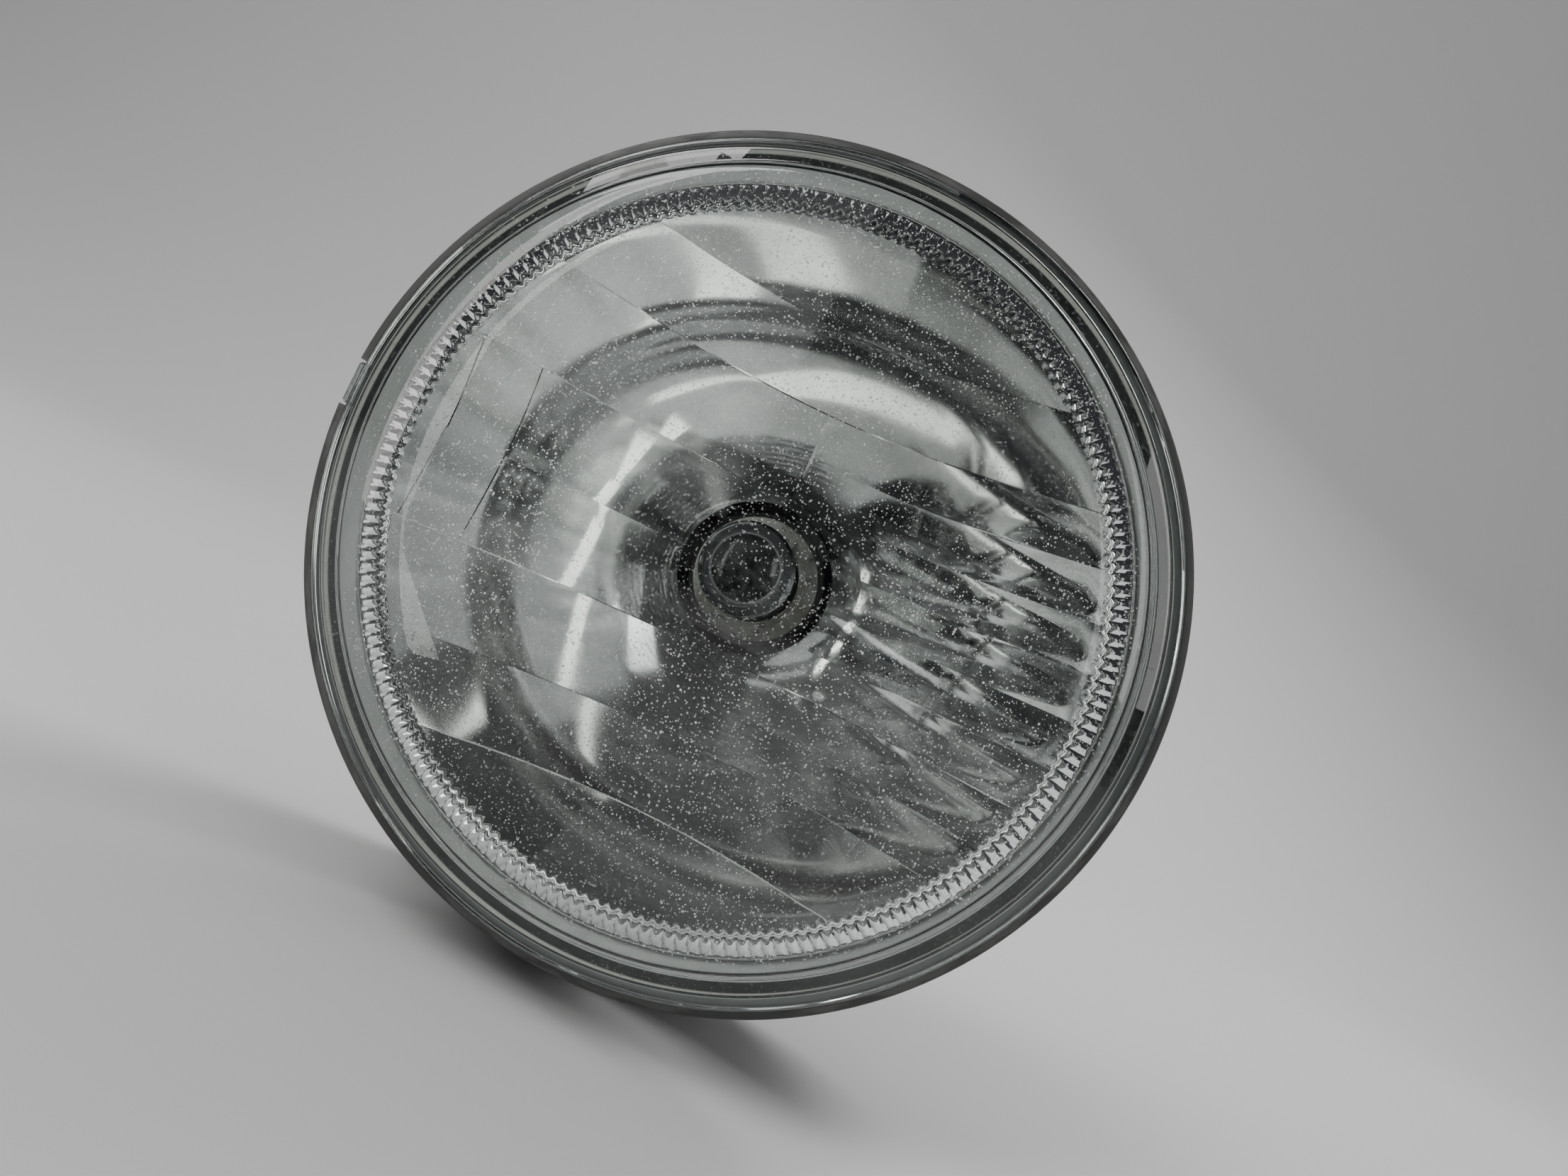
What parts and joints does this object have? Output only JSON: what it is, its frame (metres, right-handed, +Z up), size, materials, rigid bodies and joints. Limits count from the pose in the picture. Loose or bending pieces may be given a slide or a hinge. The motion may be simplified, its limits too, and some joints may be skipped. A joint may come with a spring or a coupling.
{
  "type": "fog light",
  "caption": "Round glass automotive fog light with a stepped reflector and capsule bulb, tilting in a strap bracket with a screw aim adjuster.",
  "frame": {"origin": "middle of the underside of the bracket's foot, straight below the optical axis", "axes": "+Z up, -Y the way the lens faces, X across the lamp through the line of the two pivots' axis"},
  "size_m": [0.117, 0.0701, 0.1082],
  "materials": {
    "glass": "clear pressed glass, a little greenish, with fine stone-chip pits",
    "bulb_glass": "clear quartz with a dark-coated tip",
    "sealant": "dark bedding compound",
    "reflector_coating": "vacuum-metallised, mirror bright",
    "black_plastic": "moulded glass-filled plastic, satin",
    "base_plastic": "moulded dark grey plastic",
    "rubber": "matt moulded rubber",
    "steel": "zinc-plated",
    "nylon": "natural nylon",
    "tungsten": "drawn wire",
    "tinned_brass": "tin-plated blades"
  },
  "bodies": {
    "bracket": {"carrier_bracket": "black_plastic", "foot_sleeve_left": "steel", "foot_sleeve_right": "steel", "pivot_bush_left": "nylon", "pivot_bush_right": "nylon"},
    "lamp": {"rear_housing": "black_plastic", "lens": "glass", "lens_sealant": "sealant", "reflector": "reflector_coating", "reflector_screw_left": "steel", "reflector_screw_right": "steel", "reflector_screw_lower": "steel", "screw_washer_left": "rubber", "screw_washer_right": "rubber", "screw_washer_lower": "rubber", "vent_cap": "rubber", "pivot_screw_left": "steel", "pivot_screw_right": "steel"},
    "bulb": {"bulb_base": "base_plastic", "bulb_glass": "bulb_glass", "bulb_filament": "tungsten", "bulb_lead_front": "tungsten", "bulb_lead_rear": "tungsten", "bulb_ferrule": "steel", "bulb_seal": "rubber", "terminal_upper": "tinned_brass", "terminal_lower": "tinned_brass"},
    "adjuster_screw_body": {"adjuster_screw": "steel", "adjuster_retainer": "steel"},
    "adjuster_nut_body": {"adjuster_nut": "nylon"}
  },
  "joints": [
    {"name": "aim_tilt", "type": "hinge", "parent": "bracket", "child": "lamp", "pos_m": [0, -0.01, 0.05619], "axis": [1, 0, 0], "range_deg": [-4, 4]},
    {"name": "adjuster_spin", "type": "hinge", "parent": "bracket", "child": "adjuster_screw_body", "pos_m": [0, 0.0105, 0.01287], "axis": [0, -1, 0], "range_deg": [-1090, 1090]},
    {"name": "nut_swivel", "type": "hinge", "parent": "lamp", "child": "adjuster_nut_body", "pos_m": [0, -0.01, 0.01287], "axis": [1, 0, 0], "range_deg": [-4, 4]},
    {"name": "bulb_twist", "type": "hinge", "parent": "lamp", "child": "bulb", "pos_m": [0, -0.00256, 0.05619], "axis": [0, 1, 0], "range_deg": [0, 45]}
  ],
  "couplings": [
    {"joint": "adjuster_spin", "follows": "aim_tilt", "ratio": 272.23},
    {"joint": "nut_swivel", "follows": "aim_tilt", "ratio": -1}
  ]
}
